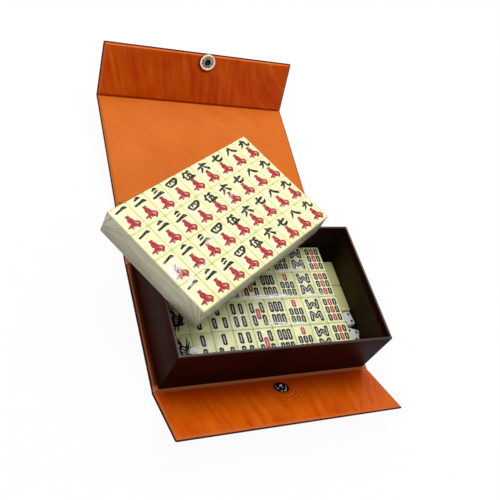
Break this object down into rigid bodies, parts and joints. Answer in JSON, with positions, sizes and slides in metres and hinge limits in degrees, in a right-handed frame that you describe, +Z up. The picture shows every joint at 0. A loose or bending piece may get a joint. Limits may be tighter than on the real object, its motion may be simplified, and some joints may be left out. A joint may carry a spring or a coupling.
{
  "type": "mahjong case",
  "caption": "Folding leatherette case for a travel mahjong set: a hinged wrap-around cover with a press stud, a tray, film-wrapped packs of tiles, spare tiles and dice.",
  "frame": {"origin": "underside of the base panel, below the middle of the tray", "axes": "+X along the tray to the spare tiles' end, +Y towards the spine hinge and the opened lid, +Z up"},
  "size_m": [0.2089, 0.3291, 0.0701],
  "materials": {
    "greyboard": "unfinished greyboard",
    "leatherette": "fine-grained dark brown leatherette",
    "orange_film": "glossy orange film, slightly wavy",
    "tray_wrap": "dark red-brown glossy leatherette",
    "dark_paper": "dark brown coated paper",
    "nickel": "plated steel",
    "dark_nickel": "dark plated steel",
    "tile": "polished cream plastic",
    "shrink_film": "clear shrink film with folds",
    "die": "polished white plastic with dark pips"
  },
  "bodies": {
    "case": {"base_board": "greyboard", "base_outer_skin": "leatherette", "base_lining": "orange_film", "tray_bottom_board": "greyboard", "tray_front_board": "greyboard", "tray_back_board": "greyboard", "tray_left_board": "greyboard", "tray_right_board": "greyboard", "tray_wrap": "tray_wrap", "tray_lining": "dark_paper", "tray_insert": "dark_paper"},
    "spine": {"spine_board": "greyboard", "spine_outer_skin": "leatherette", "spine_lining": "orange_film"},
    "lid": {"lid_board": "greyboard", "lid_outer_skin": "leatherette", "lid_lining": "orange_film"},
    "lid_flap": {"lid_flap_board": "greyboard", "lid_flap_outer_skin": "leatherette", "lid_flap_lining": "orange_film", "snap_socket": "nickel", "snap_spring": "nickel", "snap_cap": "nickel"},
    "front_flap": {"front_flap_board": "greyboard", "front_flap_outer_skin": "leatherette", "front_flap_lining": "orange_film", "snap_stud": "nickel", "snap_eyelet": "dark_nickel"},
    "lower_pack": {"lower_tiles_1": "tile", "lower_tiles_2": "tile", "lower_pack_film": "shrink_film"},
    "top_pack": {"top_tiles_1": "tile", "top_tiles_2": "tile", "top_pack_film": "shrink_film"},
    "spare_tile_1": {"spare_tile_1": "tile"},
    "spare_tile_2": {"spare_tile_2": "tile"},
    "die_1": {"die_1": "die"},
    "die_2": {"die_2": "die"}
  },
  "joints": [
    {"name": "top_pack_lift", "type": "slide", "parent": "lower_pack", "child": "top_pack", "axis": [0, -0.7071, 0.7071], "range_m": [0, 0.31]},
    {"name": "spine_fold", "type": "hinge", "parent": "case", "child": "spine", "pos_m": [0, 0.0531, 0.0007], "axis": [1, 0, 0], "range_deg": [-6, 84]},
    {"name": "lid_fold", "type": "hinge", "parent": "spine", "child": "lid", "pos_m": [0, 0.10263, 0.00591], "axis": [1, 0, 0], "range_deg": [0, 90]},
    {"name": "lid_flap_fold", "type": "hinge", "parent": "lid", "child": "lid_flap", "pos_m": [0, 0.21163, 0.01736], "axis": [1, 0, 0], "range_deg": [-57.5, 32.5]},
    {"name": "front_flap_fold", "type": "hinge", "parent": "case", "child": "front_flap", "pos_m": [0, -0.0536, 0.0007], "axis": [-1, 0, 0], "range_deg": [-28.5, 61.5]},
    {"name": "lower_pack_lift", "type": "slide", "parent": "case", "child": "lower_pack", "axis": [0, 0, -1], "range_m": [-0.06, 0]},
    {"name": "spare_tile_1_lift", "type": "slide", "parent": "case", "child": "spare_tile_1", "axis": [0, 0, -1], "range_m": [-0.05, 0]},
    {"name": "spare_tile_2_lift", "type": "slide", "parent": "case", "child": "spare_tile_2", "axis": [0, 0, -1], "range_m": [-0.05, 0]},
    {"name": "die_1_lift", "type": "slide", "parent": "case", "child": "die_1", "axis": [0, 0, -1], "range_m": [-0.05, 0]},
    {"name": "die_2_lift", "type": "slide", "parent": "case", "child": "die_2", "axis": [0, 0, -1], "range_m": [-0.05, 0]}
  ],
  "couplings": [
    {"joint": "spine_fold", "follows": "top_pack_lift", "rad_per_m": 4.7292},
    {"joint": "lid_fold", "follows": "top_pack_lift", "rad_per_m": 5.067},
    {"joint": "front_flap_fold", "follows": "top_pack_lift", "rad_per_m": 3.4625}
  ]
}
